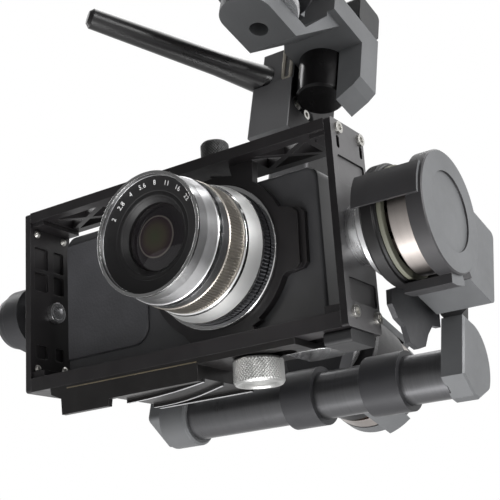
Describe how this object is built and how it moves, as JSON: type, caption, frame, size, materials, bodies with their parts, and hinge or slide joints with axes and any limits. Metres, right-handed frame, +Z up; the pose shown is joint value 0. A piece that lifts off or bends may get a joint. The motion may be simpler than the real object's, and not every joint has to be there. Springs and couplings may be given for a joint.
{
  "type": "gimbal stabilizer",
  "caption": "Hanging brushless camera gimbal: side arm, roll tube behind, box-frame cage with a compact cinema camera and silver prime lens.",
  "frame": {"origin": "centre of the top mounting face, on the pan axis", "axes": "+Z up out of the mounting face along the pan axis, -Y the way the lens looks, +X towards the tilt motor"},
  "size_m": [0.2232, 0.1824, 0.2545],
  "materials": {
    "anodised_black": "satin black anodised",
    "anodised_charcoal": "satin charcoal anodised",
    "anodised_grey": "satin mid-grey anodised",
    "bell_silver": "brushed champagne silver",
    "lens_silver": "satin silver with polished edges",
    "focus_grey": "fine straight knurl",
    "serrated_black": "serrated black",
    "lens_black": "satin black",
    "lens_glass": "coated glass",
    "camera_dark": "fine textured dark grey",
    "camera_grip_black": "grained black",
    "screen_black": "gloss black",
    "button_red": "gloss red",
    "knurled_bright": "bright diamond knurl",
    "knob_black": "knurled black",
    "screw_nickel": "nickel plated",
    "shaft_steel": "ground steel",
    "bearing_steel": "ground steel",
    "stator_copper": "enamelled copper on laminated steel",
    "board_green": "matt circuit board",
    "slip_ring_black": "moulded",
    "rubber_black": "moulded rubber",
    "module_black": "moulded, fine grain",
    "duct_black": "smooth satin"
  },
  "bodies": {
    "mount": {"mount_plate": "anodised_black", "damper_plate": "anodised_black", "vibration_dampers": "rubber_black", "pan_motor_cap": "anodised_grey", "pan_motor_base": "anodised_charcoal", "pan_stator": "stator_copper", "pan_bearings": "bearing_steel", "pan_slip_ring": "slip_ring_black"},
    "pan_frame": {"pan_rotor_shaft": "shaft_steel", "pan_motor_bell": "bell_silver", "pan_arm": "anodised_grey", "arm_column": "anodised_grey", "column_screws": "screw_nickel", "wiring_canister": "anodised_grey", "control_module": "module_black", "cable_duct": "duct_black", "roll_motor_base": "anodised_charcoal", "roll_stator": "stator_copper", "roll_bearings": "bearing_steel", "roll_motor_cap": "anodised_grey"},
    "roll_frame": {"roll_rotor_shaft": "shaft_steel", "roll_motor_bell": "bell_silver", "roll_bracket": "anodised_charcoal", "roll_tube": "anodised_charcoal", "tube_collar": "anodised_charcoal", "right_elbow": "anodised_grey", "right_arm_link": "anodised_grey", "tilt_arm_housing": "anodised_grey", "arm_screws": "screw_nickel", "left_elbow": "anodised_grey", "left_arm": "anodised_charcoal", "left_bearing_housing": "anodised_charcoal", "tilt_motor_base": "anodised_charcoal", "tilt_winding_board": "board_green", "tilt_stator": "stator_copper", "tilt_bearings": "bearing_steel", "tilt_motor_cap": "anodised_grey"},
    "camera_cage": {"tilt_rotor_shaft": "shaft_steel", "tilt_motor_bell": "bell_silver", "cage_top_plate": "anodised_black", "cage_bottom_plate": "anodised_black", "left_cheek": "anodised_black", "right_cheek": "anodised_black", "cage_screws": "screw_nickel", "lens_brace": "anodised_black", "accessory_tray": "anodised_black", "left_pivot": "shaft_steel", "imu_module": "module_black", "camera_body": "camera_dark", "camera_grip": "camera_grip_black", "camera_screen": "screen_black", "lens_mount_ring": "lens_silver", "lens_rear_barrel": "lens_silver", "lens_front_barrel": "lens_silver", "name_ring": "lens_black", "front_glass": "lens_glass"},
    "focus_ring": {"focus_ring": "focus_grey"},
    "thumb_screw": {"thumb_screw": "knurled_bright"},
    "top_knob": {"top_knob": "knob_black"},
    "record_button": {"record_button": "button_red"}
  },
  "joints": [
    {"name": "pan", "type": "hinge", "parent": "mount", "child": "pan_frame", "pos_m": [0, 0, -0.035], "axis": [0, 0, 1], "continuous": true},
    {"name": "roll", "type": "hinge", "parent": "pan_frame", "child": "roll_frame", "pos_m": [0, 0.1, -0.202], "axis": [0, 1, 0], "range_deg": [-30, 30]},
    {"name": "tilt", "type": "hinge", "parent": "roll_frame", "child": "camera_cage", "pos_m": [0, 0, -0.202], "axis": [1, 0, 0], "range_deg": [-61, 74]},
    {"name": "focus_turn", "type": "hinge", "parent": "camera_cage", "child": "focus_ring", "pos_m": [-0.001, -0.02957, -0.20736], "axis": [0, 0.9613, 0.2756], "range_deg": [-45, 45]},
    {"name": "thumb_screw_turn", "type": "hinge", "parent": "camera_cage", "child": "thumb_screw", "pos_m": [0.014, 0.00654, -0.2433], "axis": [0, -0.2756, 0.9613], "continuous": true},
    {"name": "top_knob_turn", "type": "hinge", "parent": "camera_cage", "child": "top_knob", "pos_m": [-0.002, -0.01635, -0.15623], "axis": [0, -0.2756, 0.9613], "continuous": true},
    {"name": "record_press", "type": "slide", "parent": "camera_cage", "child": "record_button", "axis": [0, 0.2756, -0.9613], "range_m": [0, 0.0012], "stiffness_N_per_m": 400}
  ]
}
